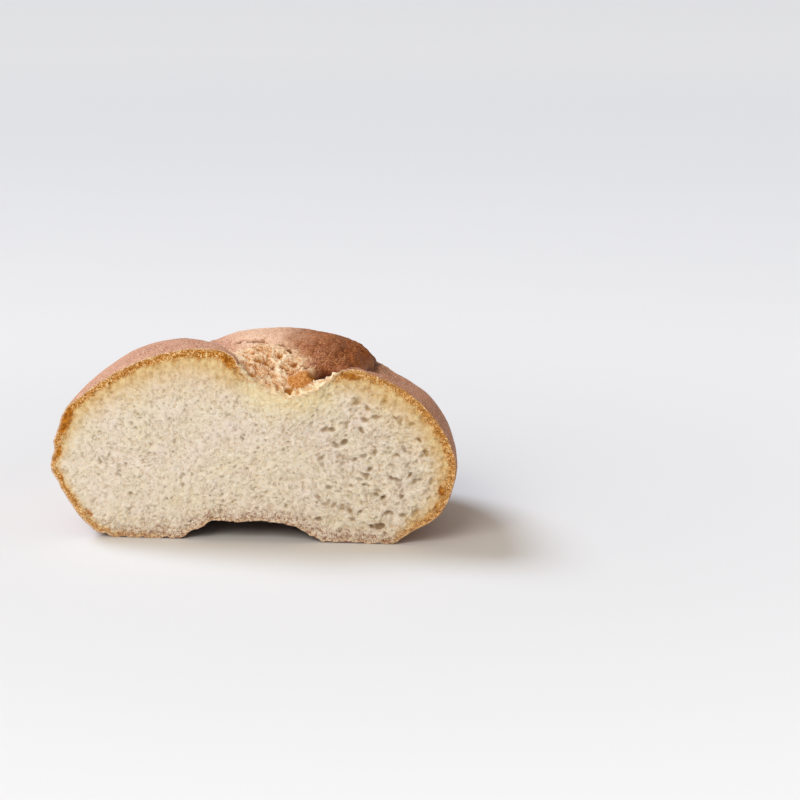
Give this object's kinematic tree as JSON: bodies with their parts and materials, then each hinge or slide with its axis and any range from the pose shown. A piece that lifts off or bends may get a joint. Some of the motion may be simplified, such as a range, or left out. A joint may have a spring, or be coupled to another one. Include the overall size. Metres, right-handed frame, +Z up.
{
  "type": "half bread roll",
  "caption": "Crusty oval bread roll cut across its width, with a flat crumb face, a split top and a hollowed underside, standing on its base.",
  "frame": {"origin": "on the resting plane, under the middle of the half's bounding box", "axes": "+X across the width of the roll, -Y out of the cut face, +Z up"},
  "size_m": [0.0899, 0.055, 0.0441],
  "materials": {
    "crust": "matte baked crust over a pale open crumb"
  },
  "bodies": {
    "root": {"bread_roll_half": "crust"}
  },
  "joints": []
}
